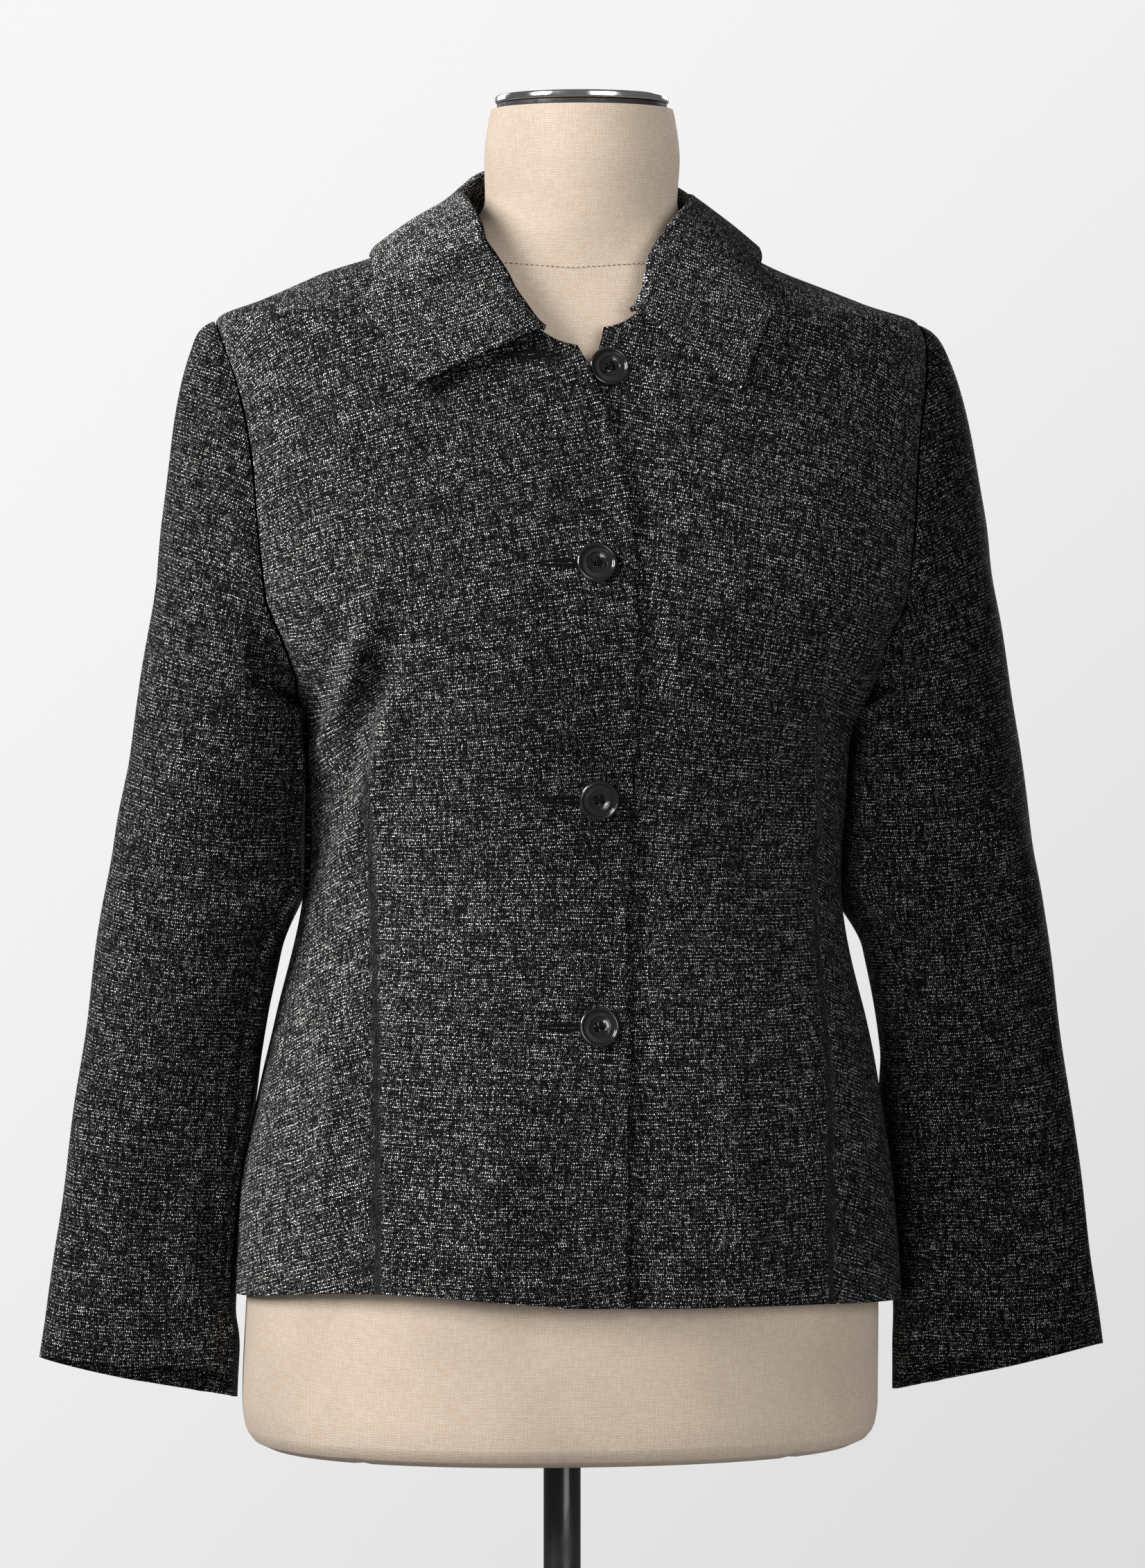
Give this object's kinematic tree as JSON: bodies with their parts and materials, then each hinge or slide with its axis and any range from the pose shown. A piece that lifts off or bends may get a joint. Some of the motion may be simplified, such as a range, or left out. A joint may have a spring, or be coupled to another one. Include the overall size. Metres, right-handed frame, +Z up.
{
  "type": "fitted jacket on a dress form",
  "caption": "Fitted flecked tweed jacket with a turned-down collar and long two-piece sleeves, buttoned on a limbless linen dress form with a metal neck cap, pole and round foot.",
  "frame": {"origin": "on the floor at the centre of the round foot, under the pole", "axes": "+Z up along the pole, -Y to the front of the jacket, +X to the wearer's left"},
  "size_m": [0.6336, 0.36, 1.4931],
  "materials": {
    "tweed": "black wool tweed with off-white flecks",
    "linen": "plain woven natural linen",
    "button_black": "polished rim, satin middle",
    "chrome": "polished",
    "dark_band": "matt",
    "stand_black": "satin black paint"
  },
  "bodies": {
    "root": {"front_right": "tweed", "front_left": "tweed", "back": "tweed", "upper_sleeve_right": "tweed", "upper_sleeve_left": "tweed", "under_sleeve_right": "tweed", "under_sleeve_left": "tweed", "collar": "tweed", "button_1": "button_black", "button_2": "button_black", "button_3": "button_black", "button_4": "button_black", "form_body": "linen", "neck_ring": "dark_band", "neck_cap": "chrome", "pole": "stand_black", "base": "stand_black"}
  },
  "joints": []
}
